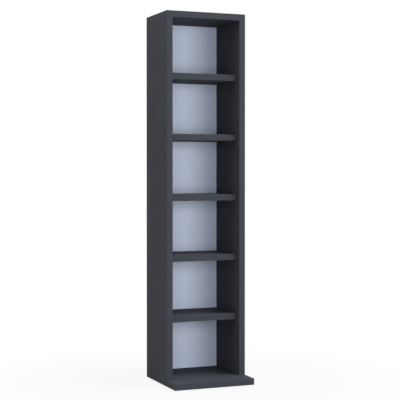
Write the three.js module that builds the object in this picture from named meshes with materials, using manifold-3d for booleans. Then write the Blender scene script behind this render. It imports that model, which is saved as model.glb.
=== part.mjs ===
// A narrow storage tower for disc cases: two tall sides stand on a base board that runs out in front,
// a top board lies over them, a hardboard back is nailed to the rear edges, and five shelves lie on pins.
// Millimetres, +Z up, +Y to the back. The origin is on the floor, under the middle of the whole outline.
// Everything off the centre line is made once for the right half, and a mirrored group makes the left.

import * as THREE from "three";
import { mergeVertices } from "three/addons/utils/BufferGeometryUtils.js";
import Module from "manifold-3d";

const wasm = await Module();
wasm.setup();

// Boards
const towerWidth = 210;
const boardThickness = 16;
const sideDepth = 147;
const baseProjection = 56;
const compartmentCount = 6;
const clearHeight = 134;
const lowestClearHeight = 138;
const shelfSetback = 18;
const shelfEndClearance = 0.5;
const shelfRearClearance = 1;
const arrisRadius = 1;
const backThickness = 3;
const backInset = 1.5;

// Fits: flat seats all but touch, and a piece in a hole has room round it
const seatGap = 0.05;
const fitGap = 0.3;
const cutOverrun = 2;

// Shelf pins, four to a shelf
const pinPegRadius = 2.5;
const pinPegLength = 9;
const pinHeadRadius = 3.5;
const pinHeadLength = 8;
const pinChamfer = 0.6;
const pinInset = 25;

// Cam lock, bolt and cover cap that draw the top down on each side
const camRadius = 7.5;
const camWeb = 3.2;
const camFaceSink = 0.5;
const camReach = 34;
const camHollowRadius = 5.8;
const camHollowOffset = 0.5;
const camDrivePocketRadius = 2;
const camDriveDepth = 2.4;
const camDriveSlotLength = 8;
const camDriveSlotWidth = 1.4;
const boltThreadRadius = 2.5;
const boltThreadLength = 11;
const boltShankRadius = 3.5;
const boltShankShortfall = 0.8;
const boltNeckRadius = 1.7;
const boltHeadRadius = 3;
const boltHeadThickness = 2.6;
const boltHeadStandoff = 3.8;
const boltChamfer = 0.7;
const capRadius = 9;
const capThickness = 1.2;
const capEdge = 0.5;
const capStudRadius = 1.5;
const capStudLength = 1.8;

// Fluted dowels that place the top on the sides
const dowelRadius = 4;
const dowelInTop = 11;
const dowelInSide = 19;
const dowelFluteDepth = 0.4;
const dowelChamfer = 1.2;
const dowelInset = 26;

// Screws that hold the sides from under the base
const screwHeadRadius = 5;
const screwHeadRim = 1;
const screwHeadHeight = 3.5;
const screwShankRadius = 3.5;
const screwShankLength = 12;
const screwCoreRadius = 2.5;
const screwLength = 50;
const screwPoint = 3;
const screwSink = 0.5;
const screwSocketRadius = 2.3;
const screwSocketDepth = 3;
const screwInset = 30;

// Nails that hold the back
const nailRadius = 0.8;
const nailLength = 20;
const nailPoint = 2.4;
const nailHeadRadius = 2;
const nailHeadThickness = 0.75;
const nailHeadGap = 0.1;
const nailsPerSide = 5;
const nailEndInset = 50;

// Glides nailed under the base
const glideRadius = 8;
const glideHeight = 3;
const glideEdge = 0.8;
const glideInset = 28;
const glideNailRadius = 1;
const glideNailLength = 11;
const glideNailPoint = 2;

// Facets and angles
const arcFacets = 4;
const pinFacets = 16;
const camFacets = 28;
const boltFacets = 16;
const screwFacets = 16;
const nailFacets = 8;
const glideFacets = 20;
const fluteCount = 12;
const socketSides = 6;
const camMouthAngle = THREE.MathUtils.degToRad(-25);
const quarterTurn = Math.PI / 2;

// Heights and depths that follow from the boards
const baseBottom = glideHeight + seatGap;
const baseTop = baseBottom + boardThickness;
const sideBottom = baseTop + seatGap;
const shelfPitch = clearHeight + boardThickness;
const shelfCount = compartmentCount - 1;
const sideHeight = lowestClearHeight + shelfCount * shelfPitch;
const sideTop = sideBottom + sideHeight;
const topBottom = sideTop + seatGap;
const topTop = topBottom + boardThickness;
const overallDepth = baseProjection + sideDepth + seatGap + backThickness;
const baseFront = -overallDepth / 2;
const sideFront = baseFront + baseProjection;
const sideRear = sideFront + sideDepth;
const backFront = sideRear + seatGap;
const backRear = backFront + backThickness;
const sideInner = towerWidth / 2 - boardThickness;
const sideMiddle = towerWidth / 2 - boardThickness / 2;
const depthMiddle = (sideFront + sideRear) / 2;
const shelfDepth = sideDepth - shelfSetback - shelfRearClearance;
const shelfFront = sideFront + shelfSetback;
const shelfRear = shelfFront + shelfDepth;

// Directions
const right = new THREE.Vector3(1, 0, 0);
const left = new THREE.Vector3(-1, 0, 0);
const forward = new THREE.Vector3(0, -1, 0);
const up = new THREE.Vector3(0, 0, 1);
const down = new THREE.Vector3(0, 0, -1);

// Finishes
const finishes = {
  board: { color: 0x4b4d52, roughness: 0.55, metalness: 0 },
  hardboard: { color: 0xd9dde6, roughness: 0.6, metalness: 0 },
  blackPlastic: { color: 0x1d1e20, roughness: 0.5, metalness: 0 },
  capPlastic: { color: 0x46484d, roughness: 0.5, metalness: 0 },
  zinc: { color: 0x9a9c9f, roughness: 0.45, metalness: 0.9 },
  steel: { color: 0xb9bbbd, roughness: 0.3, metalness: 1 },
  beech: { color: 0xc9a878, roughness: 0.75, metalness: 0 },
  nylon: { color: 0xd8d8d2, roughness: 0.5, metalness: 0 },
};

// Solids

// A closed geometry as a solid that can be joined and cut.
function solidOf(geometry) {
  const bare = new THREE.BufferGeometry();
  bare.setAttribute("position", geometry.getAttribute("position"));
  if (geometry.index) bare.setIndex(geometry.index);
  const merged = mergeVertices(bare, seatGap / 100);
  const corners = merged.index.array;
  const kept = [];
  for (let i = 0; i < corners.length; i += 3) {
    const [a, b, c] = corners.subarray(i, i + 3);
    if (a !== b && b !== c && c !== a) kept.push(a, b, c);
  }
  const vertProperties = merged.getAttribute("position").array;
  const triVerts = new Uint32Array(kept);
  return new wasm.Manifold(new wasm.Mesh({ numProp: 3, vertProperties, triVerts }));
}

function geometryOf(solid) {
  const { vertProperties, triVerts } = solid.getMesh();
  const geometry = new THREE.BufferGeometry();
  geometry.setAttribute("position", new THREE.BufferAttribute(vertProperties, 3));
  geometry.setIndex(new THREE.BufferAttribute(triVerts, 1));
  return geometry;
}

// Turns a geometry's +Z to a direction, then moves it to a place.
function placed(geometry, place, direction) {
  const turn = new THREE.Quaternion().setFromUnitVectors(up, direction);
  return geometry.clone().applyQuaternion(turn).translate(place.x, place.y, place.z);
}

// Revolves pairs of radius and height about +Z, from one point on the axis to another.
function turned(profile, facets) {
  const points = profile.map(([radius, height]) => new THREE.Vector2(radius, height));
  return new THREE.LatheGeometry(points, facets).rotateX(quarterTurn);
}

// A hole that starts a little outside its mouth and runs in by its depth.
function drill(radius, depth, facets, mouth, inward) {
  const shaft = [
    [0, -cutOverrun],
    [radius, -cutOverrun],
    [radius, depth],
    [0, depth],
  ];
  return solidOf(placed(turned(shaft, facets), mouth, inward));
}

function cutFrom(solid, cutters) {
  return cutters.reduce((rest, cutter) => rest.subtract(cutter), solid);
}

// A rectangle about the origin with an arc at each corner that has a radius, counter-clockwise
// from the corner at low x and low y.
function outline(wide, high, radii) {
  const shape = new THREE.Shape();
  const corners = [
    [-wide / 2, -high / 2],
    [wide / 2, -high / 2],
    [wide / 2, high / 2],
    [-wide / 2, high / 2],
  ];
  corners.forEach(([x, y], i) => {
    const radius = radii[i];
    const start = Math.PI + i * quarterTurn;
    const centreX = x - Math.sign(x) * radius;
    const centreY = y - Math.sign(y) * radius;
    if (radius > 0) shape.absarc(centreX, centreY, radius, start, start + quarterTurn, false);
    else if (i === 0) shape.moveTo(x, y);
    else shape.lineTo(x, y);
  });
  return shape;
}

// Runs an outline along an axis, centred on the origin: along x the outline lies in y and z,
// along y in z and x, and along z in x and y.
function runAlong(axis, shape, length) {
  const settings = { depth: length, bevelEnabled: false, curveSegments: arcFacets };
  const geometry = new THREE.ExtrudeGeometry(shape, settings).translate(0, 0, -length / 2);
  const matrix = new THREE.Matrix4();
  const back = forward.clone().negate();
  if (axis === "x") matrix.makeBasis(back, up, right);
  if (axis === "y") matrix.makeBasis(up, right, back);
  return solidOf(geometry.applyMatrix4(matrix));
}

// A board whose front and both ends are edged, with softened arrises on all three.
function boardEdgedOnThree(length, depth) {
  const r = arrisRadius;
  const frontToRear = runAlong("x", outline(depth, boardThickness, [r, 0, 0, r]), length);
  const endToEnd = runAlong("y", outline(boardThickness, length, [r, r, r, r]), depth);
  const seenFromAbove = runAlong("z", outline(length, depth, [r, r, 0, 0]), boardThickness);
  return frontToRear.intersect(endToEnd).intersect(seenFromAbove);
}

// A shelf has an edging on its front alone.
function boardEdgedInFront(length, depth) {
  const r = arrisRadius;
  return runAlong("x", outline(depth, boardThickness, [r, 0, 0, r]), length);
}

// Places that pieces and their holes share, in the right half

const pinYs = { front: shelfFront + pinInset, rear: shelfRear - pinInset };
const dowelYs = { front: sideFront + dowelInset, rear: sideRear - dowelInset };
const screwYs = { front: sideFront + screwInset, rear: sideRear - screwInset };
const glideYs = { front: baseFront + glideInset, rear: sideRear - glideInset };
const glideX = towerWidth / 2 - glideInset;
const camHeightAt = sideTop - camReach;
const nailHeadDepth = seatGap + nailHeadThickness;

function shelfUnderside(number) {
  return sideBottom + lowestClearHeight + (number - 1) * shelfPitch;
}

function pinHeight(number) {
  return shelfUnderside(number) - seatGap - pinHeadRadius;
}

const shelfNumbers = Array.from({ length: shelfCount }, (_, i) => i + 1);
const sideNailHeights = Array.from({ length: nailsPerSide }, (_, i) => {
  const share = i / (nailsPerSide - 1);
  return THREE.MathUtils.lerp(baseTop + nailEndInset, topBottom - nailEndInset, share);
});
const boardNailHeights = {
  base: baseBottom + boardThickness / 2,
  top: topBottom + boardThickness / 2,
};

// Small pieces

const pinGeometry = turned(
  [
    [0, -pinPegLength],
    [pinPegRadius - pinChamfer, -pinPegLength],
    [pinPegRadius, pinChamfer - pinPegLength],
    [pinPegRadius, 0],
    [pinHeadRadius, 0],
    [pinHeadRadius, pinHeadLength - pinChamfer],
    [pinHeadRadius - pinChamfer, pinHeadLength],
    [0, pinHeadLength],
  ],
  pinFacets,
);

// The cam stands on its closed end. Its hollow takes the bolt's head, the mouth lets the head in,
// and the slot round the wall lets the neck travel from the mouth to the top.
const camBoreDepth = boardThickness - camWeb;
const camLength = camBoreDepth - fitGap - camFaceSink;
const boltAxisInCam = camBoreDepth - fitGap - boardThickness / 2;

function makeCam() {
  const body = turned(
    [
      [0, 0],
      [camRadius, 0],
      [camRadius, camLength],
      [0, camLength],
    ],
    camFacets,
  );
  const hollowHalf = boltHeadRadius + fitGap;
  const hollow = new THREE.CylinderGeometry(
    camHollowRadius,
    camHollowRadius,
    2 * hollowHalf,
    camFacets,
  );
  hollow.rotateX(quarterTurn);
  hollow.translate(
    camHollowOffset * Math.cos(camMouthAngle),
    camHollowOffset * Math.sin(camMouthAngle),
    boltAxisInCam,
  );
  const mouthway = new THREE.Vector3(Math.cos(camMouthAngle), Math.sin(camMouthAngle), 0);
  const centre = new THREE.Vector3(0, 0, boltAxisInCam);
  const mouth = drill(hollowHalf, camRadius + cutOverrun, boltFacets, centre, mouthway);

  const neckHalf = boltNeckRadius + fitGap;
  const slotInner = camHollowRadius - camHollowOffset - neckHalf / 2;
  const slotEnd = quarterTurn + Math.asin(neckHalf / slotInner);
  const slotShape = new THREE.Shape();
  slotShape.absarc(0, 0, camRadius + cutOverrun, camMouthAngle, slotEnd, false);
  slotShape.absarc(0, 0, slotInner, slotEnd, camMouthAngle, true);
  const slotSettings = { depth: 2 * neckHalf, bevelEnabled: false, curveSegments: camFacets / 2 };
  const slot = new THREE.ExtrudeGeometry(slotShape, slotSettings);
  slot.translate(0, 0, boltAxisInCam - neckHalf);

  const face = new THREE.Vector3(0, 0, camLength);
  const pocket = drill(camDrivePocketRadius, camDriveDepth, boltFacets, face, down);
  const driveHeight = camDriveDepth + cutOverrun;
  const driveMiddle = camLength - camDriveDepth + driveHeight / 2;
  const slots = [
    [camDriveSlotLength, camDriveSlotWidth],
    [camDriveSlotWidth, camDriveSlotLength],
  ].map(([x, y]) => solidOf(new THREE.BoxGeometry(x, y, driveHeight).translate(0, 0, driveMiddle)));
  return cutFrom(solidOf(body), [solidOf(hollow), mouth, solidOf(slot), pocket, ...slots]);
}

// The bolt's thread is in the top board, its shank in the side, its neck and head in the cam.
const boltShankEnd = camReach - camRadius - boltShankShortfall;
const boltHeadStart = camReach - boltHeadStandoff;
const boltHeadEnd = boltHeadStart + boltHeadThickness;
const boltGeometry = turned(
  [
    [0, -boltThreadLength],
    [boltThreadRadius - boltChamfer, -boltThreadLength],
    [boltThreadRadius, boltChamfer - boltThreadLength],
    [boltThreadRadius, seatGap],
    [boltShankRadius, seatGap],
    [boltShankRadius, boltShankEnd - boltChamfer],
    [boltShankRadius - boltChamfer, boltShankEnd],
    [boltNeckRadius, boltShankEnd],
    [boltNeckRadius, boltHeadStart],
    [boltHeadRadius, boltHeadStart],
    [boltHeadRadius, boltHeadEnd - boltChamfer],
    [boltHeadRadius - boltChamfer, boltHeadEnd],
    [0, boltHeadEnd],
  ],
  boltFacets,
);

const capGeometry = turned(
  [
    [0, -capStudLength],
    [capStudRadius, -capStudLength],
    [capStudRadius, 0],
    [capRadius, 0],
    [capRadius, capThickness - capEdge],
    [capRadius - capEdge, capThickness],
    [0, capThickness],
  ],
  camFacets,
);

// A dowel is a fluted rod whose ends are chamfered by a plain turned blank.
function makeDowel() {
  const points = Array.from({ length: 2 * fluteCount }, (_, i) => {
    const angle = (i / fluteCount) * Math.PI;
    const radius = i % 2 ? dowelRadius - dowelFluteDepth : dowelRadius;
    return new THREE.Vector2(radius * Math.cos(angle), radius * Math.sin(angle));
  });
  const length = dowelInTop + dowelInSide;
  const rod = new THREE.ExtrudeGeometry(new THREE.Shape(points), { depth: length, bevelEnabled: false });
  rod.translate(0, 0, -dowelInSide);
  const blank = turned(
    [
      [0, -dowelInSide],
      [dowelRadius - dowelChamfer, -dowelInSide],
      [dowelRadius, dowelChamfer - dowelInSide],
      [dowelRadius, dowelInTop - dowelChamfer],
      [dowelRadius - dowelChamfer, dowelInTop],
      [0, dowelInTop],
    ],
    2 * fluteCount,
  );
  return solidOf(rod).intersect(solidOf(blank));
}

function makeScrew() {
  const body = turned(
    [
      [0, 0],
      [screwHeadRadius, 0],
      [screwHeadRadius, screwHeadRim],
      [screwShankRadius, screwHeadHeight],
      [screwShankRadius, screwShankLength],
      [screwCoreRadius, screwShankLength],
      [screwCoreRadius, screwLength - screwPoint],
      [0, screwLength],
    ],
    screwFacets,
  );
  const mouth = new THREE.Vector3(0, 0, 0);
  return solidOf(body).subtract(drill(screwSocketRadius, screwSocketDepth, socketSides, mouth, up));
}

const nailGeometry = turned(
  [
    [0, -nailHeadThickness],
    [nailHeadRadius, -nailHeadThickness],
    [nailHeadRadius, 0],
    [nailRadius, 0],
    [nailRadius, nailLength - nailPoint],
    [0, nailLength],
  ],
  nailFacets,
);

const glideGeometry = turned(
  [
    [0, 0],
    [glideRadius - glideEdge, 0],
    [glideRadius, glideEdge],
    [glideRadius, glideHeight],
    [glideNailRadius, glideHeight],
    [glideNailRadius, glideHeight + glideNailLength - glideNailPoint],
    [0, glideHeight + glideNailLength],
  ],
  glideFacets,
);

// Holes that the small pieces need

// A nail is driven forwards until its head is flush with the back, which the head's recess is cut
// into, and every board that the nail meets has the same hole.
function nailHole(x, z) {
  const recessFloor = nailHeadDepth + seatGap;
  const end = nailHeadDepth + nailLength + fitGap;
  const profile = [
    [0, -cutOverrun],
    [nailHeadRadius + nailHeadGap, -cutOverrun],
    [nailHeadRadius + nailHeadGap, recessFloor],
    [nailRadius + fitGap, recessFloor],
    [nailRadius + fitGap, end],
    [0, end],
  ];
  const mouth = new THREE.Vector3(x, backRear, z);
  return solidOf(placed(turned(profile, nailFacets), mouth, forward));
}

function screwHole(x, y) {
  const profile = [
    [0, -cutOverrun],
    [screwHeadRadius + fitGap, -cutOverrun],
    [screwHeadRadius + fitGap, screwHeadRim + fitGap],
    [screwShankRadius + fitGap, screwHeadHeight + fitGap],
    [screwShankRadius + fitGap, boardThickness + cutOverrun],
    [0, boardThickness + cutOverrun],
  ];
  const head = new THREE.Vector3(x, y, baseBottom + screwSink);
  return solidOf(placed(turned(profile, screwFacets), head, up));
}

// Boards with their holes

function makeSide() {
  const r = arrisRadius;
  const blank = runAlong("z", outline(boardThickness, sideDepth, [r, r, 0, 0]), sideHeight);
  const board = blank.translate([sideMiddle, depthMiddle, sideBottom + sideHeight / 2]);
  const top = (y) => new THREE.Vector3(sideMiddle, y, sideTop);
  const foot = (y) => new THREE.Vector3(sideMiddle, y, sideBottom);
  const face = (y, z) => new THREE.Vector3(sideInner, y, z);
  const pegHoles = shelfNumbers.flatMap((number) =>
    Object.values(pinYs).map((y) => {
      const mouth = face(y, pinHeight(number));
      return drill(pinPegRadius + fitGap, pinPegLength + fitGap, pinFacets, mouth, right);
    }),
  );
  const camBore = drill(
    camRadius + fitGap,
    camBoreDepth,
    camFacets,
    face(depthMiddle, camHeightAt),
    right,
  );
  const boltBore = drill(boltShankRadius + fitGap, camReach, boltFacets, top(depthMiddle), down);
  const dowelHoles = Object.values(dowelYs).map((y) =>
    drill(dowelRadius + fitGap, dowelInSide + fitGap, pinFacets, top(y), down),
  );
  const screwDepth = screwLength + screwSink - boardThickness + fitGap;
  const screwHoles = Object.values(screwYs).map((y) =>
    drill(screwCoreRadius + fitGap, screwDepth, screwFacets, foot(y), up),
  );
  const nailHoles = sideNailHeights.map((z) => nailHole(sideMiddle, z));
  return cutFrom(board, [...pegHoles, camBore, boltBore, ...dowelHoles, ...screwHoles, ...nailHoles]);
}

function makeTop() {
  const blank = boardEdgedOnThree(towerWidth, sideDepth);
  const board = blank.translate([0, depthMiddle, topBottom + boardThickness / 2]);
  const cutters = [nailHole(0, boardNailHeights.top)];
  for (const x of [-sideMiddle, sideMiddle]) {
    const under = (y) => new THREE.Vector3(x, y, topBottom);
    const threadDepth = boltThreadLength + fitGap;
    cutters.push(drill(boltThreadRadius + fitGap, threadDepth, boltFacets, under(depthMiddle), up));
    for (const y of Object.values(dowelYs))
      cutters.push(drill(dowelRadius + fitGap, dowelInTop + fitGap, pinFacets, under(y), up));
  }
  return cutFrom(board, cutters);
}

function makeBase() {
  const depth = baseProjection + sideDepth;
  const blank = boardEdgedOnThree(towerWidth, depth);
  const board = blank.translate([0, baseFront + depth / 2, baseBottom + boardThickness / 2]);
  const cutters = [nailHole(0, boardNailHeights.base)];
  const glideHoleRadius = glideNailRadius + fitGap;
  for (const half of [-1, 1]) {
    for (const y of Object.values(screwYs)) cutters.push(screwHole(half * sideMiddle, y));
    for (const y of Object.values(glideYs)) {
      const mouth = new THREE.Vector3(half * glideX, y, baseBottom);
      cutters.push(drill(glideHoleRadius, glideNailLength + fitGap, nailFacets, mouth, up));
    }
  }
  return cutFrom(board, cutters);
}

function makeBack() {
  const wide = towerWidth - 2 * backInset;
  const high = topTop - baseBottom - 2 * backInset;
  const blank = runAlong("z", outline(wide, backThickness, [0, 0, 0, 0]), high);
  const board = blank.translate([0, backFront + backThickness / 2, (baseBottom + topTop) / 2]);
  const cutters = Object.values(boardNailHeights).map((z) => nailHole(0, z));
  for (const x of [-sideMiddle, sideMiddle])
    for (const z of sideNailHeights) cutters.push(nailHole(x, z));
  return cutFrom(board, cutters);
}

// The assembly

const tower = new THREE.Group();

// Adds a piece made about its own origin, with its +Z turned to a direction.
function addPiece(group, name, geometry, finish, place, direction = up) {
  const mesh = new THREE.Mesh(geometry, new THREE.MeshStandardMaterial(finishes[finish]));
  mesh.name = name;
  mesh.position.copy(place);
  mesh.quaternion.setFromUnitVectors(up, direction);
  group.add(mesh);
  return mesh;
}

// Adds a board that was cut where it stands: its mesh sits at the board's middle.
function addBoard(group, name, solid, finish) {
  const geometry = geometryOf(solid);
  geometry.computeBoundingBox();
  const middle = geometry.boundingBox.getCenter(new THREE.Vector3());
  geometry.translate(-middle.x, -middle.y, -middle.z);
  return addPiece(group, name, geometry, finish, middle);
}

addBoard(tower, "base_panel", makeBase(), "board");
addBoard(tower, "top_panel", makeTop(), "board");
addBoard(tower, "back_panel", makeBack(), "hardboard");

const shelfLength = 2 * (sideInner - shelfEndClearance);
const shelfGeometry = geometryOf(boardEdgedInFront(shelfLength, shelfDepth));
for (const number of shelfNumbers) {
  const height = shelfUnderside(number) + boardThickness / 2;
  const place = new THREE.Vector3(0, (shelfFront + shelfRear) / 2, height);
  addPiece(tower, `shelf_${number}`, shelfGeometry, "board", place);
}

for (const name of ["base", "top"]) {
  const place = new THREE.Vector3(0, backRear - nailHeadDepth, boardNailHeights[name]);
  addPiece(tower, `back_nail_${name}`, nailGeometry, "steel", place, forward);
}

const sideSolid = makeSide();
const camGeometry = geometryOf(makeCam());
const dowelGeometry = geometryOf(makeDowel());
const screwGeometry = geometryOf(makeScrew());

// The cam's closed end is outwards in the side, and its +Y, where the neck comes in, is up.
const camTurn = new THREE.Matrix4().makeBasis(forward, up, left);

for (const [side, mirror] of [
  ["left", -1],
  ["right", 1],
]) {
  const half = new THREE.Group();
  half.scale.x = mirror;
  tower.add(half);
  addBoard(half, `${side}_side_panel`, sideSolid, "board");

  for (const number of shelfNumbers)
    for (const [end, y] of Object.entries(pinYs)) {
      const place = new THREE.Vector3(sideInner - seatGap, y, pinHeight(number));
      addPiece(half, `shelf_pin_${number}_${side}_${end}`, pinGeometry, "blackPlastic", place, left);
    }

  const camFoot = sideInner + camBoreDepth - fitGap;
  const camPlace = new THREE.Vector3(camFoot, depthMiddle, camHeightAt);
  const cam = addPiece(half, `cam_lock_${side}`, camGeometry, "zinc", camPlace);
  cam.quaternion.setFromRotationMatrix(camTurn);
  const boltPlace = new THREE.Vector3(sideMiddle, depthMiddle, sideTop);
  addPiece(half, `cam_bolt_${side}`, boltGeometry, "steel", boltPlace, down);
  const capPlace = new THREE.Vector3(sideInner - seatGap, depthMiddle, camHeightAt);
  addPiece(half, `cam_cap_${side}`, capGeometry, "capPlastic", capPlace, left);

  for (const [end, y] of Object.entries(dowelYs)) {
    const place = new THREE.Vector3(sideMiddle, y, sideTop);
    addPiece(half, `top_dowel_${side}_${end}`, dowelGeometry, "beech", place);
  }
  for (const [end, y] of Object.entries(screwYs)) {
    const place = new THREE.Vector3(sideMiddle, y, baseBottom + screwSink);
    addPiece(half, `base_screw_${side}_${end}`, screwGeometry, "steel", place);
  }
  for (const [end, y] of Object.entries(glideYs)) {
    const place = new THREE.Vector3(glideX, y, 0);
    addPiece(half, `glide_${side}_${end}`, glideGeometry, "nylon", place);
  }
  sideNailHeights.forEach((z, i) => {
    const place = new THREE.Vector3(sideMiddle, backRear - nailHeadDepth, z);
    addPiece(half, `back_nail_${side}_${i + 1}`, nailGeometry, "steel", place, forward);
  });
}

export default tower;
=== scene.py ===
import bpy
import math
import numpy as np
from functools import reduce
from itertools import combinations
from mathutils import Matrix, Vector


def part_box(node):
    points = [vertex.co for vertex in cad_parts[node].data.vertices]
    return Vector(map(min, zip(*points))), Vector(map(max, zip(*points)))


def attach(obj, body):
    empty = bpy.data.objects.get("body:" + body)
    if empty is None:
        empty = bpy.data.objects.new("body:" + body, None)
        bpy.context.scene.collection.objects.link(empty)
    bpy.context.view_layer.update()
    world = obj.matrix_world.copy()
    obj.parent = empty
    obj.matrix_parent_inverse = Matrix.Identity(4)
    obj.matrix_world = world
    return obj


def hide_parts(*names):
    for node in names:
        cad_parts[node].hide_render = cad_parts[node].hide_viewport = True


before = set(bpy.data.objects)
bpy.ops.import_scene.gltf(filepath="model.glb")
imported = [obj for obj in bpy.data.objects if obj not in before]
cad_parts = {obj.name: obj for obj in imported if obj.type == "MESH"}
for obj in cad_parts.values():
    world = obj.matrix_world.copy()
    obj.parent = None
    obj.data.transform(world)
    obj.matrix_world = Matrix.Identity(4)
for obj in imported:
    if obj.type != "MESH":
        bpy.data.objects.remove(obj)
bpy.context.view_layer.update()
millimetre = 0.001
carcass = "carcass"


# Camera

def boxOf(node):  # lowest and highest corner of a CAD node, in millimetres
    low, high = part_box(node)
    return low / millimetre, high / millimetre


viewpoint = {
    "lens": 100.165,  # mm, on a sensor 36 mm wide
    "sensor": 36,
    "aside": -1052.1,  # mm from the middle line, to the left
    "ahead": 2545.1,  # mm in front of the sides' front edges
    "above": 523.7,  # mm over the underside of the base board
    "heading": 22.127,  # degrees, from straight ahead to the right
    "tilt": 0.936,  # degrees downwards
    "shift": -0.0225,  # share of the picture's side
}


def placeCamera():
    frontEdge = boxOf("left_side_panel")[0].y
    underside = boxOf("base_panel")[0].z
    place = (viewpoint["aside"], frontEdge - viewpoint["ahead"], underside + viewpoint["above"])
    data = bpy.data.cameras.new("viewpoint")
    data.sensor_width = viewpoint["sensor"]
    data.lens = viewpoint["lens"]
    data.shift_y = viewpoint["shift"]
    camera = bpy.data.objects.new("viewpoint", data)
    camera.location = Vector(place) * millimetre
    camera.rotation_euler = (math.radians(90 - viewpoint["tilt"]), 0, -math.radians(viewpoint["heading"]))
    bpy.context.scene.collection.objects.link(camera)
    bpy.context.scene.camera = camera
    bpy.context.scene.view_settings.view_transform = "Standard"


placeCamera()
print("camera placed")


# Shader maths

noiseRange = (0.3, 0.7)  # where almost all of a noise's values lie


class Wire:  # a socket of a node tree, for plain expressions
    def __init__(self, tree, socket=None):
        self.tree = tree
        self.socket = socket

    def node(self, kind, settings=(), inputs=(), output=0):
        made = self.tree.nodes.new(kind)
        for name, value in dict(settings).items():
            if name == "stops":
                setStops(made.color_ramp, value)
            else:
                setattr(made, name, value)
        for name, value in dict(inputs).items():
            if isinstance(value, Wire):
                self.tree.links.new(value.socket, made.inputs[name])
            else:
                made.inputs[name].default_value = value
        return Wire(self.tree, made.outputs[output] if made.outputs else None)

    def math(self, operation, *values):
        return self.node("ShaderNodeMath", {"operation": operation}, enumerate(values))

    def __add__(self, other):
        return self.math("ADD", self, other)

    def __sub__(self, other):
        return self.math("SUBTRACT", self, other)

    def __rsub__(self, other):
        return self.math("SUBTRACT", other, self)

    def __mul__(self, other):
        return self.math("MULTIPLY", self, other)

    def __lt__(self, other):
        return self.math("LESS_THAN", self, other)

    def __gt__(self, other):
        return self.math("GREATER_THAN", self, other)

    __radd__ = __add__
    __rmul__ = __mul__

    def least(self, other):
        return self.math("MINIMUM", self, other)

    def most(self, other):
        return self.math("MAXIMUM", self, other)

    def sine(self):
        return self.math("SINE", self)

    def absolute(self):
        return self.math("ABSOLUTE", self)

    def ramp(self, low, high, start=0.0, end=1.0):  # smoothly from start to end between low and high
        values = {"Value": self, "From Min": low, "From Max": high, "To Min": start, "To Max": end}
        return self.node("ShaderNodeMapRange", {"interpolation_type": "SMOOTHSTEP"}, values)

    def between(self, first, second):  # a colour mixed from first to second by this value
        factorAndColours = {0: self, 6: first, 7: second}
        return self.node("ShaderNodeMix", {"data_type": "RGBA"}, factorAndColours, 2)

    def stops(self, *stops):
        return self.node("ShaderNodeValToRGB", {"stops": stops}, {0: self})

    def stretched(self, x, y, z):
        return self.node("ShaderNodeVectorMath", {"operation": "MULTIPLY"}, {0: self, 1: (x, y, z)})

    def moved(self, other):
        return self.node("ShaderNodeVectorMath", {"operation": "ADD"}, {0: self, 1: other})

    def noise(self, spacing, detail=2.0, output=0):  # spacing in the units of the vector
        values = {"Vector": self, "Scale": 1 / spacing, "Detail": detail}
        return self.node("ShaderNodeTexNoise", {}, values, output)

    def cloud(self, spacing, detail, start=0.0, end=1.0):  # noise that fills the range given
        return self.noise(spacing, detail).ramp(*noiseRange, start, end)

    def cells(self, spacing, output="Color"):
        return self.node("ShaderNodeTexVoronoi", {}, {"Vector": self, "Scale": 1 / spacing}, output)

    def warped(self, spacing, amount):  # pushed about by noise, whose colours lie round 0.5
        push = self.noise(spacing, output="Color").moved((-0.5, -0.5, -0.5))
        return self.moved(push.stretched(amount, amount, amount))

    def parts(self):
        return [self.node("ShaderNodeSeparateXYZ", {}, {0: self}, i) for i in range(3)]


def setStops(ramp, stops):
    while len(ramp.elements) < len(stops):
        ramp.elements.new(1)
    for element, (position, colour) in zip(ramp.elements, stops):
        element.position = position
        element.color = colour


def shade(red, green, blue):  # a colour as a screen shows it, 0 to 255, in linear form
    shown = np.array([red, green, blue]) / 255
    linear = np.where(shown <= 0.04045, shown / 12.92, ((shown + 0.055) / 1.055) ** 2.4)
    return (*linear.tolist(), 1)


def tinted(colour, factor):  # a linear colour made lighter or darker
    return (*[part * factor for part in colour[:3]], 1)


def mottled(colour, stray):  # the two colours that a finish strays between
    return tinted(colour, 1 - stray), tinted(colour, 1 + stray)


# Light and floor

white = (1, 1, 1, 1)
studio = {
    "worldLight": 0.4,  # light from all round, 1 being white
    "lampSide": 1300,  # mm
    "lampAway": 3000,  # mm from the tower's middle
    "middle": (0, 0, 460),
    "lamps": {  # degrees to the right of straight in front, degrees up, and watts
        "frontLeft": (-20, 2, 18.4),
        "frontRight": (20, 2, 26),
        "left": (-80, 30, 17.5),
        "right": (80, 30, 24),
        "high": (50, 60, 60),
        "rear": (180, 30, 16),
    },
    "floorColour": shade(170, 170, 171),  # as the tower sees it
    "shownColour": shade(192, 192, 192),  # as the camera sees it, white once lit
    "floorRadius": 3000,
    "floorCorners": 96,
    "shadowShare": 0.1,  # how much of the floor's own shading the camera sees beside the tower
    "fadeFrom": 150,  # mm from the middle, where that share starts to fade
    "fadeTo": 700,
}


def seenPlainly(wire):  # 1 for rays that show the background itself or its image in gloss and glass
    path = wire.node("ShaderNodeLightPath", output="Is Camera Ray")
    for output in ("Is Glossy Ray", "Is Transmission Ray"):
        path = path.most(wire.node("ShaderNodeLightPath", output=output))
    return path


def makeWorld():
    world = bpy.data.worlds.new("studio")
    world.use_nodes = True
    world.node_tree.nodes.clear()
    wire = Wire(world.node_tree)
    light = wire.node("ShaderNodeBackground", {}, {"Color": white, "Strength": studio["worldLight"]})
    background = wire.node("ShaderNodeBackground", {}, {"Color": white, "Strength": 1})
    mixed = wire.node("ShaderNodeMixShader", {}, {0: seenPlainly(wire), 1: light, 2: background})
    wire.node("ShaderNodeOutputWorld", {}, {"Surface": mixed})
    bpy.context.scene.world = world


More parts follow.
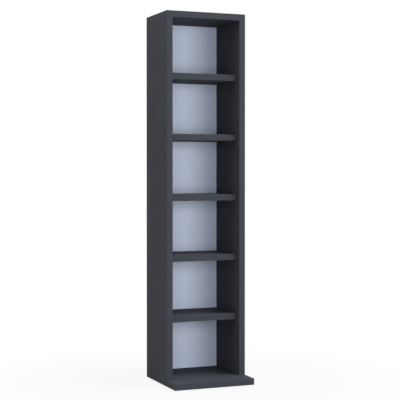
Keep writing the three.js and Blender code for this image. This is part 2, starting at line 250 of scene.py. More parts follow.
def floorMaterial():  # matt and pale from above, clear from below
    material = bpy.data.materials.new("floor")
    material.use_nodes = True
    material.node_tree.nodes.clear()
    wire = Wire(material.node_tree)
    tone = seenPlainly(wire).between(studio["floorColour"], studio["shownColour"])
    matt = wire.node("ShaderNodeBsdfDiffuse", {}, {"Color": tone})
    bright = wire.node("ShaderNodeEmission", {}, {"Color": white, "Strength": 1})
    place = wire.node("ShaderNodeTexCoord", output="Object")
    away = wire.node("ShaderNodeVectorMath", {"operation": "LENGTH"}, {0: place}, "Value")
    near, far = studio["fadeFrom"] * millimetre, studio["fadeTo"] * millimetre
    share = away.ramp(near, far, 1 - studio["shadowShare"], 1) * seenPlainly(wire)
    top = wire.node("ShaderNodeMixShader", {}, {0: share, 1: matt, 2: bright})
    below = wire.node("ShaderNodeNewGeometry", output="Backfacing")
    clear = wire.node("ShaderNodeBsdfTransparent")
    both = wire.node("ShaderNodeMixShader", {}, {0: below, 1: top, 2: clear})
    wire.node("ShaderNodeOutputMaterial", {}, {"Surface": both})
    return material


def makeFloor():
    angle = np.linspace(0, 2 * np.pi, studio["floorCorners"], endpoint=False)
    rim = np.stack([np.cos(angle), np.sin(angle), 0 * angle], 1) * studio["floorRadius"] * millimetre
    mesh = bpy.data.meshes.new("floor")
    mesh.from_pydata(rim.tolist(), [], [list(range(len(rim)))])
    mesh.materials.append(floorMaterial())
    floor = bpy.data.objects.new("floor", mesh)
    bpy.context.scene.collection.objects.link(floor)


def makeLamps():
    for name, (aside, up, power) in studio["lamps"].items():
        turn, lift = math.radians(aside), math.radians(up)
        away = Vector((math.sin(turn) * math.cos(lift), -math.cos(turn) * math.cos(lift), math.sin(lift)))
        data = bpy.data.lights.new(name, "AREA")
        data.size = studio["lampSide"] * millimetre
        data.energy = power
        light = bpy.data.objects.new(name, data)
        light.location = (Vector(studio["middle"]) + away * studio["lampAway"]) * millimetre
        light.rotation_euler = away.to_track_quat("Z", "Y").to_euler()
        light.visible_camera = False
        bpy.context.scene.collection.objects.link(light)


makeWorld()
makeFloor()
makeLamps()
print("studio lit")


# Finishes: spacings, depths and reliefs are in millimetres

def startMaterial(name):
    material = bpy.data.materials.new(name)
    material.use_nodes = True
    material.node_tree.nodes.clear()
    wire = Wire(material.node_tree)
    place = wire.node("ShaderNodeTexCoord", output="Object").stretched(*[1 / millimetre] * 3)
    return material, wire, place


def endMaterial(material, wire, colour, roughness, relief, **fixed):
    bump = {"Strength": 1.0, "Distance": millimetre, "Height": relief}
    values = {"Base Color": colour, "Roughness": roughness}
    values["Normal"] = wire.node("ShaderNodeBump", {}, bump)
    values.update(fixed)
    surface = wire.node("ShaderNodeBsdfPrincipled", {}, values)
    wire.node("ShaderNodeOutputMaterial", {}, {"Surface": surface})
    return material


chipboard = {
    "chip": 2.6,  # the longer way of a chip
    "flatness": 3.2,  # times as long as it is thick
    "swirl": 3.0,  # between the bends of the pressed layers
    "swirlReach": 1.5,
    "colours": [
        (0.12, shade(124, 94, 62)),
        (0.32, shade(176, 146, 108)),
        (0.6, shade(202, 174, 134)),
        (0.85, shade(222, 200, 162)),
    ],
    "relief": 0.16,
    "grit": 0.35,
    "roughness": 0.92,
}


def chipboardSurface(place, thin):  # the colour and the relief where a board is bare
    squeeze = [chipboard["flatness"] if axis == thin else 1 for axis in "XYZ"]
    laid = place.warped(chipboard["swirl"], chipboard["swirlReach"]).stretched(*squeeze)
    colour = laid.cells(chipboard["chip"]).stops(*chipboard["colours"])
    hollows = laid.cells(chipboard["chip"], "Distance") * -chipboard["relief"]
    return colour, hollows + place.noise(chipboard["grit"]) * (chipboard["relief"] / 2)


melamine = {
    "colour": shade(66.5, 69, 74.5),
    "edgingColour": shade(65, 68, 74),
    "mottle": 0.03,  # how far the colour strays either way
    "mottleSpacing": 2.5,
    "roughness": 0.56,
    "handling": 0.03,  # how far touch and dust change the roughness
    "handlingSpacing": 55,
    "pearl": 0.8,  # between the pimples of the pressed surface
    "pearlHeight": 0.02,
    "specular": 0.015,
    "film": 0.6,  # how far the pressed face seals a bare edge
    "chipSpacing": 1.3,
    "chipRange": (0.62, 0.8),  # the noise's values between which the film starts to chip and chips most
    "chipDepths": (-0.05, 0.22),  # how far the chips reach in there, under 0 where the edge is whole
    "edging": 1.0,  # thickness of the strip on a covered edge
    "edgingPolish": 0.06,  # how much smoother it is
    "edgingFlatter": 0.6,  # how much of the pimples it lacks
    "seam": 0.14,  # width of the glue line beside the strip
    "seamDepth": 0.03,
    "seamShare": 0.75,
    "seamShade": 0.35,
    "arris": 1.0,  # width over which an edge with a strip is rounded
    "rubColour": shade(88, 91, 96),
    "rubRange": (0.2, 1.0),  # from the arris, where the rub starts to fade and ends
    "rubSpacing": 22,
    "rubPatches": (0.35, 0.75),
    "rubShare": 0.6,
}
faces = ("-X", "+X", "-Y", "+Y", "-Z", "+Z")


def depthUnder(face, place, low, high):  # how far a point is inside one face of its board
    axis = "XYZ".index(face[1])
    here = place.parts()[axis]
    return here - low[axis] if face[0] == "-" else high[axis] - here


def boardZones(node, place, thin, covered):
    # where a board is bare, where it is strip or glue line, and how far a point is from an arris
    depths = {face: depthUnder(face, place, *boxOf(node)) for face in faces}
    underFilm = depths["-" + thin].least(depths["+" + thin])
    underStrip = reduce(Wire.least, [depths[face] for face in covered])
    bareSides = [face for face in faces if face[1] != thin and face not in covered]
    underBare = reduce(Wire.least, [depths[face] for face in bareSides])
    chips = place.noise(melamine["chipSpacing"], detail=3)
    chips = chips.ramp(*melamine["chipRange"], *melamine["chipDepths"])
    bare = (underFilm > melamine["film"]) * (underStrip > melamine["edging"])
    bare = bare.most(underBare < chips)
    strip = underStrip < melamine["edging"]
    seam = (underStrip - melamine["edging"]).absolute() < melamine["seam"] / 2
    # on a face its own depth is 0, so the second least depth is the distance from the nearest arris
    closed = [underFilm] + [depths[face] for face in covered]
    fromArris = reduce(Wire.least, [one.most(other) for one, other in combinations(closed, 2)])
    return bare, strip, seam, fromArris


def boardMaterial(node, thin, covered):  # thin is the axis through the board, covered are its edged sides
    material, wire, place = startMaterial(node + "_melamine")
    bare, strip, seam, fromArris = boardZones(node, place, thin, covered)
    # the relief falls as the square of what is left to the arris, to a slope of 1 on it
    bend = (1 - fromArris * (1 / melamine["arris"])).most(0)
    patches = place.noise(melamine["rubSpacing"], detail=5).ramp(*melamine["rubPatches"])
    rub = fromArris.ramp(*melamine["rubRange"], 1, 0) * patches * melamine["rubShare"]

    mottle = place.cloud(melamine["mottleSpacing"], detail=6)
    film = mottle.between(*mottled(melamine["colour"], melamine["mottle"]))
    banding = mottle.between(*mottled(melamine["edgingColour"], melamine["mottle"]))
    colour = strip.between(film, banding)
    colour = rub.between(colour, melamine["rubColour"])
    glue = tinted(melamine["colour"], melamine["seamShade"])
    colour = (seam * melamine["seamShare"]).between(colour, glue)
    chips, hollows = chipboardSurface(place, thin)
    colour = bare.between(colour, chips)

    handling = melamine["handling"]
    touched = place.cloud(melamine["handlingSpacing"], detail=3, start=-handling, end=handling)
    roughness = touched + melamine["roughness"] - strip * melamine["edgingPolish"]
    roughness = roughness * (1 - bare) + bare * chipboard["roughness"]
    pearl = place.noise(melamine["pearl"], detail=1) * melamine["pearlHeight"]
    pearl = pearl * (1 - strip * melamine["edgingFlatter"])
    rounding = bend * bend * (melamine["arris"] / 2)
    relief = (pearl - seam * melamine["seamDepth"]) * (1 - bare) + hollows * bare - rounding
    fixed = {"Specular IOR Level": melamine["specular"]}
    return endMaterial(material, wire, colour, roughness, relief, **fixed)


hardboard = {
    "front": shade(217, 229, 253),
    "mottle": 0.01,
    "mottleSpacing": 26,
    "lacquer": 0.2,  # depth of the white on the front
    "polish": 0.37,  # how much smoother it makes the front
    "skin": (0.6, 0.012),  # spacing and height of its fine relief
    "brushing": (2.5, 0.02),  # the same for the long marks in it
    "brushingLength": 0.3,
    "raw": [
        (0.3, shade(108, 80, 56)),
        (0.5, shade(142, 109, 78)),
        (0.72, shade(166, 134, 99)),
    ],
    "fibre": 2.2,
    "fibreLength": 3.5,  # times as long as it is wide
    "fibreHeight": 0.12,
    "swirls": (4, 5),  # between the bends of the upright fibres and of those that cross them
    "swirlReach": 3,
    "screen": 1.7,  # between the wires that marked the rear
    "screenDepth": 0.1,
    "hollowShadeShare": 0.3,  # how much painted shade the marks' hollows get
    # factor on the darkest raw colour for that painted shade
    "hollowShadeTint": 0.6,
    "roughness": 0.85,
    "handling": 0.04,
    "handlingSpacing": 40,
    "specular": 0.35,
}


def hardboardMaterial(node):
    material, wire, place = startMaterial(node + "_hardboard")
    low, high = boxOf(node)
    across, through, upward = place.parts()
    painted = (through - low.y) < hardboard["lacquer"]
    cloudy = place.cloud(hardboard["mottleSpacing"], detail=4)
    front = cloudy.between(*mottled(hardboard["front"], hardboard["mottle"]))
    fibre, length = hardboard["fibre"], hardboard["fibreLength"]
    upright, lying = (place.warped(spacing, hardboard["swirlReach"]) for spacing in hardboard["swirls"])
    fibres = upright.stretched(1, 1, length).noise(fibre, detail=5)
    crossing = lying.stretched(length, 1, 1).noise(fibre, detail=5)
    raw = (fibres * 0.5 + crossing * 0.5).stops(*hardboard["raw"])

    wires = 2 * math.pi / hardboard["screen"]
    marks = (across * wires).sine() * (upward * wires).sine() * (hardboard["screenDepth"] / 2)
    rear = (high.y - through) < hardboard["lacquer"]
    # painted shade: the rear's colour darkens in the hollows of the screen marks
    dark = (marks * (1 / hardboard["screenDepth"]) + 0.5).ramp(0, 1, hardboard["hollowShadeShare"], 0) * rear
    raw = dark.between(raw, tinted(hardboard["raw"][0][1], hardboard["hollowShadeTint"]))
    colour = painted.between(raw, front)

    handling = hardboard["handling"]
    touched = place.cloud(hardboard["handlingSpacing"], detail=2, start=-handling, end=handling)
    roughness = hardboard["roughness"] - painted * hardboard["polish"] + touched
    fine, fineHeight = hardboard["skin"]
    long, longHeight = hardboard["brushing"]
    skin = place.noise(fine, detail=2) * fineHeight
    skin = skin + place.stretched(1, 1, hardboard["brushingLength"]).noise(long, detail=3) * longHeight
    relief = skin * painted + (1 - painted) * (marks * rear + fibres * hardboard["fibreHeight"])
    fixed = {"Specular IOR Level": hardboard["specular"]}
    return endMaterial(material, wire, colour, roughness, relief, **fixed)


plastics = {
    "pinPlastic": {
        "colour": shade(48, 50, 54),
        "roughness": 0.42,
        "grain": 0.5,
        "relief": 0.01,
        "specular": 0.4,
    },
    "capPlastic": {
        "colour": melamine["colour"],
        "roughness": 0.56,
        "grain": 0.8,
        "relief": 0.01,
        "specular": 0.015,
    },
    "nylon": {
        "colour": shade(214, 212, 203),
        "roughness": 0.46,
        "grain": 0.9,
        "relief": 0.02,
        "specular": 0.4,
    },
}
moulding = {
    "mottle": 0.1,
    "mottleSpacing": 3.5,
    "mottleRoughness": 0.1,
    "swirl": 2,
    "swirlReach": 1,
    "scuff": 1.5,
    "scuffLength": 5,  # times as long as it is wide
    "scuffRange": (0.6, 0.7),
    "scuffShare": 0.3,
    "scuffShade": 1.5,
    "scuffRoughness": 0.15,
}


def plasticMaterial(name):
    look = plastics[name]
    material, wire, place = startMaterial(name)
    cloudy = place.cloud(moulding["mottleSpacing"], detail=4)
    colour = cloudy.between(*mottled(look["colour"], moulding["mottle"]))
    streaked = place.warped(moulding["swirl"], moulding["swirlReach"])
    streaked = streaked.stretched(1, 1, moulding["scuffLength"])
    scuffed = streaked.noise(moulding["scuff"], detail=4).ramp(*moulding["scuffRange"])
    pale = tinted(look["colour"], moulding["scuffShade"])
    colour = (scuffed * moulding["scuffShare"]).between(colour, pale)
    roughness = cloudy * moulding["mottleRoughness"] + look["roughness"]
    roughness = roughness + scuffed * moulding["scuffRoughness"]
    relief = place.noise(look["grain"], detail=2) * look["relief"]
    fixed = {"Specular IOR Level": look["specular"]}
    return endMaterial(material, wire, colour, roughness, relief, **fixed)


metals = {
    "zincCasting": {
        "colour": shade(168, 170, 172),
        "tint": shade(140, 143, 148),
        "roughness": 0.5,
        "grain": 0.7,
    },
    "platedSteel": {
        "colour": shade(196, 198, 200),
        "tint": shade(186, 184, 168),
        "roughness": 0.3,
        "grain": 0.25,
    },
    "nailSteel": {
        "colour": shade(176, 177, 178),
        "tint": shade(132, 126, 118),
        "roughness": 0.38,
        "grain": 0.3,
    },
}
tarnish = {
    "spacing": 2.4,
    "tintRange": (0.35, 0.7),  # the noise's values between which the tint comes up
    "roughness": (-0.08, 0.12),  # added to the metal's own
    "pit": 3,  # spacing, in grains
    "pitSize": 0.3,
    "pitPatches": (0.5, 0.6),
    "pitShare": 0.4,
    "pitShade": 0.4,
    "pitDepth": 0.012,
    "grainHeight": 0.008,
}


def metalMaterial(name):
    look = metals[name]
    material, wire, place = startMaterial(name)
    cloudy = place.noise(tarnish["spacing"], detail=5)
    colour = cloudy.ramp(*tarnish["tintRange"]).between(look["colour"], look["tint"])
    pits = place.cells(look["grain"] * tarnish["pit"], "Distance").ramp(0.0, tarnish["pitSize"], 1, 0)
    pits = pits * cloudy.ramp(*tarnish["pitPatches"])
    colour = (pits * tarnish["pitShare"]).between(colour, tinted(look["tint"], tarnish["pitShade"]))
    roughness = cloudy.ramp(*noiseRange, *tarnish["roughness"]) + look["roughness"]
    relief = place.noise(look["grain"], detail=3) * tarnish["grainHeight"] - pits * tarnish["pitDepth"]
    return endMaterial(material, wire, colour, roughness, relief, Metallic=1.0)


beech = {
    "pale": shade(206, 172, 128),
    "dark": shade(170, 130, 90),
    "grain": 0.9,
    "grainLength": 0.06,  # the share to which the pattern is squeezed along the wood
    "fleck": 0.5,
    "fleckColour": shade(122, 84, 54),
    "fleckLength": 0.35,
    "fleckRange": (0.64, 0.7),
    "fleckShare": 0.7,
    "relief": 0.03,
    "roughness": 0.68,
    "grainRoughness": 0.1,
}


def beechMaterial():
    material, wire, place = startMaterial("beech")
    grain = place.stretched(1, 1, beech["grainLength"]).cloud(beech["grain"], detail=4)
    flecks = place.stretched(1, 1, beech["fleckLength"]).noise(beech["fleck"], detail=2)
    flecks = flecks.ramp(*beech["fleckRange"])
    wood = grain.between(beech["pale"], beech["dark"])
    colour = (flecks * beech["fleckShare"]).between(wood, beech["fleckColour"])
    relief = grain * beech["relief"] - flecks * beech["relief"]
    roughness = grain * beech["grainRoughness"] + beech["roughness"]
    return endMaterial(material, wire, colour, roughness, relief)


def dress(node, material):
    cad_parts[node].material_slots[0].material = material


def nodesNamed(start):
    return sorted(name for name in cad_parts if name.startswith(start))


for node in ("left_side_panel", "right_side_panel"):
    dress(node, boardMaterial(node, "X", ["-Y"]))
for node in ("top_panel", "base_panel"):
    dress(node, boardMaterial(node, "Z", ["-Y", "-X", "+X"]))
for node in ("shelf_1", "shelf_2", "shelf_3", "shelf_4", "shelf_5"):
    dress(node, boardMaterial(node, "Z", ["-Y"]))
dress("back_panel", hardboardMaterial("back_panel"))
print("boards finished")

finishes = {name: plasticMaterial(name) for name in plastics}
finishes.update({name: metalMaterial(name) for name in metals})
finishes["beech"] = beechMaterial()
for node in nodesNamed("cam_lock"):
    dress(node, finishes["zincCasting"])
print("fittings' finishes made:", len(finishes))


# Turned pieces: a profile of radius and height is carried round an axis. All lengths are in millimetres,
# and each dictionary ends with the bend of the corners, the step between rows and the segments round.

curve = {"rows": 5, "share": 0.45}  # rows in a softened corner, and the most that it takes of a stretch
sharpFrom = 38  # degrees between two faces
hair = 0.01  # mm, for the tests of which row of a profile a point is on


def softened(profile, bend):  # each corner becomes a curve that starts and ends bend away from it
    # a point of it is (1 - t) squared of its start, 2 t (1 - t) of the corner and t squared of its end
    points = np.array(profile, float)
    before, corner, after = points[:-2], points[1:-1], points[2:]
    inLength = np.linalg.norm(before - corner, axis=1, keepdims=True)
    outLength = np.linalg.norm(after - corner, axis=1, keepdims=True)
    reach = np.minimum(bend, curve["share"] * np.minimum(inLength, outLength))
    start = (corner + (before - corner) / inLength * reach)[:, None]
    end = (corner + (after - corner) / outLength * reach)[:, None]
    t = np.linspace(0, 1, curve["rows"])[None, :, None]
    curves = (1 - t) ** 2 * start + 2 * t * (1 - t) * corner[:, None] + t ** 2 * end
    return np.concatenate([points[:1], curves.reshape(-1, 2), points[-1:]])


def refined(profile, step):  # each stretch is cut evenly so that no row is more than step from the next
    rows = [profile[:1]]
    for start, end in zip(profile[:-1], profile[1:]):
        cuts = math.ceil(np.linalg.norm(end - start) / step)
        rows.append(start + (end - start) * np.arange(1, cuts + 1)[:, None] / cuts)
    return np.concatenate(rows)


def outline(piece, profile):
    return refined(softened(profile, piece["bend"]), piece["step"])


def turned(profile, origin, axis, segments, shape=None, bored=False):
    # the point at height h and angle a is r cos a, r sin a, h, and shape may change r and h;
    # a bored piece's profile is a loop, and any other starts and ends on the axis
    angle = np.linspace(0, 2 * np.pi, segments, endpoint=False)[None]
    rows = profile if bored else profile[1:-1]
    radius, height = rows[:, :1] + 0 * angle, rows[:, 1:] + 0 * angle
    if shape:
        radius, height = shape(radius, height, angle)
    points = np.stack([radius * np.cos(angle), radius * np.sin(angle), height], -1).reshape(-1, 3)
    count = len(rows)
    row = np.arange(count if bored else count - 1)[:, None]
    here = np.arange(segments)[None]
    beside = (here + 1) % segments
    low, high = row * segments, (row + 1) % count * segments
    corners = [low + here, low + beside, high + beside, high + here]
    polygons = np.stack(corners, -1).reshape(-1, 4).tolist()
    if not bored:
        here, beside = here[0], beside[0]
        last, pole = (count - 1) * segments, np.full(segments, count * segments)
        polygons += np.stack([beside, here, pole], 1).tolist()
        polygons += np.stack([last + here, last + beside, pole + 1], 1).tolist()
        points = np.concatenate([points, [[0, 0, profile[0, 1]], [0, 0, profile[-1, 1]]]])
    turn = np.array(Vector(axis).to_track_quat("Z", "Y").to_matrix())
    return points @ turn.T + np.array(origin), polygons


def addPiece(name, node, shape, finish):  # shape is points in millimetres and their polygons
    points, polygons = shape
    mesh = bpy.data.meshes.new(name)
    mesh.from_pydata((points * millimetre).tolist(), [], polygons)
    mesh.polygons.foreach_set("use_smooth", [True] * len(polygons))
    mesh.set_sharp_from_angle(angle=math.radians(sharpFrom))
    mesh.materials.append(finishes[finish])
    piece = bpy.data.objects.new(name, mesh)
    bpy.context.scene.collection.objects.link(piece)
    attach(piece, carcass)
    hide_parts(node)


def ridge(turns):  # 1 on the crest of a thread and 0 half a turn away
    return 1 - np.abs(2 * (turns % 1) - 1)


def seatInSide(node, sunk):  # a piece let into a side panel: its wall point, way out, radius and reach
    low, high = boxOf(node)
    wall = (low + high) / 2
    outwards = Vector((1, 0, 0)) if "_left" in node else Vector((-1, 0, 0))
    wall.x = low.x + sunk if outwards.x > 0 else high.x - sunk
    return wall, outwards, (high.y - low.y) / 2, high.x - low.x - sunk


shelfPin = {
    "peg": 9,  # mm in the side panel
    "pegRadius": 2.5,
    "ribs": 6,
    "ribHeight": 0.2,
    "tip": 0.9,
    "dimple": 1.1,  # radius of the gate mark on the end
    "dimpleFloor": 0.7,  # share of that radius
    "dimpleDepth": 0.3,
    "parting": 0.05,  # height of the mould's parting line
    "partingWidth": 0.09,  # radians
    "partingStart": 0.6,  # mm out of the wall
    "bend": 0.5,
    "step": 1.5,
    "segments": 48,
}


def makeShelfPin(node):
    wall, outwards, radius, head = seatInSide(node, shelfPin["peg"])
    end, peg, tip = -shelfPin["peg"], shelfPin["pegRadius"], shelfPin["tip"]
    dimple, floor = shelfPin["dimple"], head - shelfPin["dimpleDepth"]
    skin = radius - shelfPin["parting"]
    profile = outline(shelfPin, [
        (0, end), (peg - tip, end), (peg, tip + end), (peg, 0), (skin, 0), (skin, head),
        (dimple, head), (dimple * shelfPin["dimpleFloor"], floor), (0, floor),
    ])

    def moulded(r, h, a):  # the peg is thinner between its ribs, and a parting line runs down the head
        between = 0.5 - 0.5 * np.cos(shelfPin["ribs"] * a)
        inPeg = (h < -hair) & (r > peg - tip - hair)
        line = np.exp(-((np.sin(a) / shelfPin["partingWidth"]) ** 2))
        line = line * (h > shelfPin["partingStart"]) * (r > skin - hair)
        return r - inPeg * shelfPin["ribHeight"] * between + line * shelfPin["parting"], h

    shape = turned(profile, wall, outwards, shelfPin["segments"], moulded)
    addPiece(node + "_moulded", node, shape, "pinPlastic")


camCap = {
    "stud": 1.8,  # mm in the cam
    "studRadius": 1.45,
    "studEnd": 0.75,  # share of that radius
    "studTaper": 0.6,  # share of the stud's length where it starts
    "rim": 0.45,  # height of the upright rim
    "bevel": 0.6,  # width of the bevel above it
    "crown": 0.3,  # how far the middle stands over the bevel
    "dome": 0.6,  # share of the radius where the dome is still nearly full
    "domeDrop": 0.05,
    "notch": 0.8,  # depth of the thumbnail notch
    "notchReach": 0.65,  # mm in from the rim
    "notchWidth": 0.16,  # radians
    "bend": 0.3,
    "step": 1,
    "segments": 96,
}


def makeCamCap(node):
    wall, outwards, radius, height = seatInSide(node, camCap["stud"])
    end, stud, crown = -camCap["stud"], camCap["studRadius"], height - camCap["crown"]
    profile = outline(camCap, [
        (0, end), (stud * camCap["studEnd"], end), (stud, end * camCap["studTaper"]), (stud, 0),
        (radius, 0), (radius, camCap["rim"]), (radius - camCap["bevel"], crown),
        (radius * camCap["dome"], height - camCap["domeDrop"]), (0, height),
    ])

    def notched(r, h, a):  # the notch is at the bottom, three quarters round
        notch = np.exp(-(((a - 1.5 * np.pi) / camCap["notchWidth"]) ** 2))
        notch = notch * (r > radius - camCap["notchReach"])
        return r - notch * camCap["notch"] * (h < crown), h

    shape = turned(profile, wall, outwards, camCap["segments"], notched)
    addPiece(node + "_domed", node, shape, "capPlastic")


camBolt = {
    "thread": 11,  # mm in the top board
    "tip": 1.4,
    "tipTaper": 1.3,
    "crest": 2.5,
    "core": 1.9,
    "pitch": 2.2,
    "threadEnd": 0.5,  # mm short of the collar
    "collar": 0.05,  # mm clear of the top board
    "shankEnd": 25.7,
    "shoulder": 0.7,
    "shoulderStep": 0.6,
    "neck": 1.7,
    "neckStart": 0.5,
    "headStart": 30.2,
    "head": 3,
    "headBevel": 0.8,
    "headTaper": 1.1,
    "bend": 0.25,
    "step": 0.2,
    "segments": 32,
}


def makeCamBolt(node):
    low, high = boxOf(node)
    middle, radius = (low + high) / 2, (high.y - low.y) / 2
    start, end = -camBolt["thread"], high.z - low.z - camBolt["thread"]
    crest, neck, head, shankEnd = (camBolt[name] for name in ("crest", "neck", "head", "shankEnd"))
    collar, headStart = camBolt["collar"], camBolt["headStart"]
    profile = outline(camBolt, [
        (0, start), (crest - camBolt["tipTaper"], start), (crest, camBolt["tip"] + start),
        (crest, collar), (radius, collar), (radius, shankEnd - camBolt["shoulder"]),
        (neck + camBolt["shoulderStep"], shankEnd), (neck, shankEnd + camBolt["neckStart"]),
        (neck, headStart), (head, headStart), (head, end - camBolt["headBevel"]),
        (head - camBolt["headTaper"], end), (0, end),
    ])

    def threaded(r, h, a):  # the groove lies half a turn from the ridge, which climbs a pitch each turn
        depth = (crest - camBolt["core"]) * (1 - ridge(h / camBolt["pitch"] - a / (2 * np.pi)))
        return r - depth * (h < -camBolt["threadEnd"]) * (r > crest - camBolt["tipTaper"]), h

    origin = (middle.x, middle.y, high.z - camBolt["thread"])
    shape = turned(profile, origin, (0, 0, -1), camBolt["segments"], threaded)
    addPiece(node + "_threaded", node, shape, "platedSteel")


baseScrew = {
    "socket": 2.3,  # mm from the axis to a corner of the hexagon
    "socketDepth": 2.6,
    "drilled": 0.6,  # mm that the drill's cone goes deeper
    "drilledFrom": 0.9,  # share of the socket's radius
    "hexagonBelow": 0.1,  # mm that the hexagon goes on beyond the socket's floor
    "mouth": (0.35, 0.3),  # width and depth of the bevel round the socket
    "rim": 1,
    "coneEnd": 3.5,
    "shank": 3.5,
    "shankEnd": 12,
    "shankTaper": 0.5,
    "core": 2.5,
    "crest": 3.4,
    "pitch": 3,
    "threadRise": 2,  # mm over which the thread grows to its full height
    "threadFall": 5,  # mm over which it goes down to nothing at the tip
    "point": 3,
    "bend": 0.2,
    "step": 0.35,
    "segments": 36,
}


def makeBaseScrew(node):
    low, high = boxOf(node)
    middle, head, length = (low + high) / 2, (high.y - low.y) / 2, high.z - low.z
    socket, depth, shank, core = (baseScrew[name] for name in ("socket", "socketDepth", "shank", "core"))
    start = baseScrew["shankEnd"] + baseScrew["shankTaper"]
    mouthWidth, mouthDepth = baseScrew["mouth"]
    profile = outline(baseScrew, [
        (0, depth + baseScrew["drilled"]), (socket * baseScrew["drilledFrom"], depth), (socket, depth),
        (socket, mouthDepth), (socket + mouthWidth, 0), (head, 0), (head, baseScrew["rim"]),
        (shank, baseScrew["coneEnd"]), (shank, baseScrew["shankEnd"]), (core, start),
        (core, length - baseScrew["point"]), (0, length),
    ])

    def threaded(r, h, a):
        # the hexagon's side is at its half width over the cosine of the angle from the side's middle,
        # and the thread stands on the core by the square of the ridge, which climbs a pitch each turn
        side = np.cos((a + np.pi / 6) % (np.pi / 3) - np.pi / 6)
        inSocket = (h < depth + baseScrew["hexagonBelow"]) & (r < socket + hair)
        rise = np.clip((h - start) / baseScrew["threadRise"], 0, 1)
        fall = np.clip((length - h) / baseScrew["threadFall"], 0, 1)
        height = (baseScrew["crest"] - core) * (rise * fall)
        crest = height * ridge(h / baseScrew["pitch"] - a / (2 * np.pi)) ** 2
        return np.where(inSocket, r * np.cos(np.pi / 6) / side, r + crest * (h > start)), h

    origin = (middle.x, middle.y, low.z)
    shape = turned(profile, origin, (0, 0, 1), baseScrew["segments"], threaded)
    addPiece(node + "_threaded", node, shape, "platedSteel")


backNail = {
    "head": 1.93,
    "headThickness": 0.75,
    "headEdge": 0.15,  # height of the head's rim over its seat
    "fillet": (0.3, 0.4),  # width and length of the neck under the head
    "shank": 0.8,
    "point": 2.4,
    "pointFlats": 0.75,  # share of the shank's radius at the middle of a flat
    "chequer": 0.75,  # mm from one pimple of the head to the next
    "chequerHeight": 0.07,
    "chequerMargin": 0.2,
    "rings": 0.8,  # mm between the grip rings under the head
    "ringHeight": 0.07,
    "ringsFrom": 0.8,
    "ringsTo": 4.8,
    "plainFrom": 0.2,  # mm beyond the rings and short of the point, where the rows end
    "bend": 0.15,
    "step": 0.15,
    "segments": 48,
}


def makeBackNail(node):
    low, high = boxOf(node)
    middle, thick = (low + high) / 2, backNail["headThickness"]
    length = high.y - low.y - thick
    head, shank, top = backNail["head"], backNail["shank"], backNail["chequerHeight"] - thick
    ringsFrom, ringsTo = backNail["ringsFrom"], backNail["ringsTo"]
    pointStart = length - backNail["point"]
    filletWidth, filletLength = backNail["fillet"]
    profile = outline(backNail, [
        (0, top), (head, top), (head, -backNail["headEdge"]), (shank + filletWidth, 0),
        (shank, filletLength), (shank, pointStart), (0, length),
    ])
    height, plainFrom = profile[:, 1], backNail["plainFrom"]
    plain = (height > ringsTo + plainFrom) & (height < pointStart - plainFrom)
    profile = profile[~plain]  # the smooth shank needs no rows

    def struck(r, h, a):  # the head is chequered, the neck ringed and the point four-sided
        lines = 2 * np.pi / backNail["chequer"]
        chequer = np.abs(np.sin(lines * r * np.cos(a) / 2) * np.sin(lines * r * np.sin(a) / 2))
        face = (h < top + hair) & (r < head - backNail["chequerMargin"])
        rings = ridge(h / backNail["rings"]) * backNail["ringHeight"] * ((h > ringsFrom) & (h < ringsTo))
        flats = backNail["pointFlats"] / np.maximum(np.abs(np.cos(a)), np.abs(np.sin(a)))
        pointed = np.where(h > pointStart, r * flats, r)
        return pointed + rings, h - face * chequer * backNail["chequerHeight"]

    origin = (middle.x, high.y - thick, middle.z)
    shape = turned(profile, origin, (0, -1, 0), backNail["segments"], struck)
    addPiece(node + "_struck", node, shape, "nailSteel")


glide = {
    "bore": 1.1,
    "boreRows": (0.7, 0.8),  # shares of the height where the profile's loop starts and ends
    "sink": 2.6,  # radius of the hollow round the nail's head
    "sinkDepth": 1.4,
    "lip": (0.5, 0.35),  # width and height of the hollow's edge
    "edge": 0.8,
    "height": 3,
    "bend": 0.35,
    "step": 1,
    "segments": 64,
}
glideNail = {
    "head": 2.2,
    "radius": 1,
    "back": 0.5,  # how far the head stays clear of the floor
    "point": 2,
    "bend": 0.2,
    "step": 1,
    "segments": 32,
}


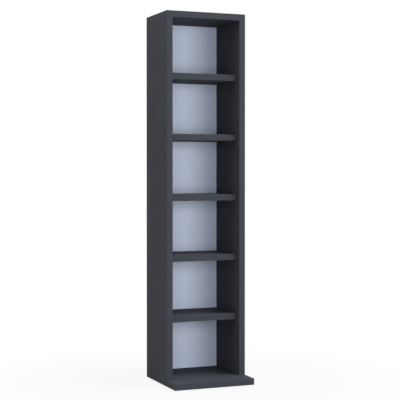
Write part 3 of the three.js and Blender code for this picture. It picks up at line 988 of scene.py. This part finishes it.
def makeGlide(node):
    low, high = boxOf(node)
    origin, radius = (low + high) / 2, (high.x - low.x) / 2
    origin.z = low.z
    bore, sink, height, edge = glide["bore"], glide["sink"], glide["height"], glide["edge"]
    loopStart, loopEnd = glide["boreRows"]
    lipWidth, lipHeight = glide["lip"]
    pad = outline(glide, [
        (bore, height * loopStart), (bore, glide["sinkDepth"]), (sink, lipHeight), (sink + lipWidth, 0),
        (radius - edge, 0), (radius, edge), (radius, height), (bore, height), (bore, height * loopEnd),
    ])
    shape = turned(pad, origin, (0, 0, 1), glide["segments"], bored=True)
    addPiece(node + "_pad", node, shape, "nylon")
    back, nail, length = glideNail["back"], glideNail["radius"], high.z - low.z
    profile = outline(glideNail, [
        (0, back), (glideNail["head"], back), (nail, glide["sinkDepth"]),
        (nail, length - glideNail["point"]), (0, length),
    ])
    shape = turned(profile, origin, (0, 0, 1), glideNail["segments"])
    addPiece(node + "_nail", node, shape, "nailSteel")


dowel = {
    "flutes": 12,
    "fluteDepth": 0.4,
    "fluteFullness": 0.7,  # power of the wave round the dowel, under 1 for wide flutes
    "chamfer": 1.2,
    "bend": 0.6,
    "step": 2,
    "segments": 96,
}


def makeDowel(node):
    low, high = boxOf(node)
    origin, length = (low + high) / 2, high.z - low.z
    origin.z = low.z
    radius, chamfer = (high.x - low.x) / 2, dowel["chamfer"]
    profile = outline(dowel, [
        (0, 0), (radius - chamfer, 0), (radius, chamfer),
        (radius, length - chamfer), (radius - chamfer, length), (0, length),
    ])

    def fluted(r, h, a):  # each groove is a power of half of 1 less the cosine of the flutes' angle
        groove = (0.5 - 0.5 * np.cos(dowel["flutes"] * a)) ** dowel["fluteFullness"]
        return r - dowel["fluteDepth"] * groove * (r > radius - chamfer), h

    shape = turned(profile, origin, (0, 0, 1), dowel["segments"], fluted)
    addPiece(node + "_fluted", node, shape, "beech")


makers = {
    "shelf_pin": makeShelfPin,
    "cam_cap": makeCamCap,
    "cam_bolt": makeCamBolt,
    "base_screw": makeBaseScrew,
    "back_nail": makeBackNail,
    "glide": makeGlide,
    "top_dowel": makeDowel,
}
for start, maker in makers.items():
    nodes = nodesNamed(start)
    for node in nodes:
        maker(node)
    print(start, "pieces made:", len(nodes))
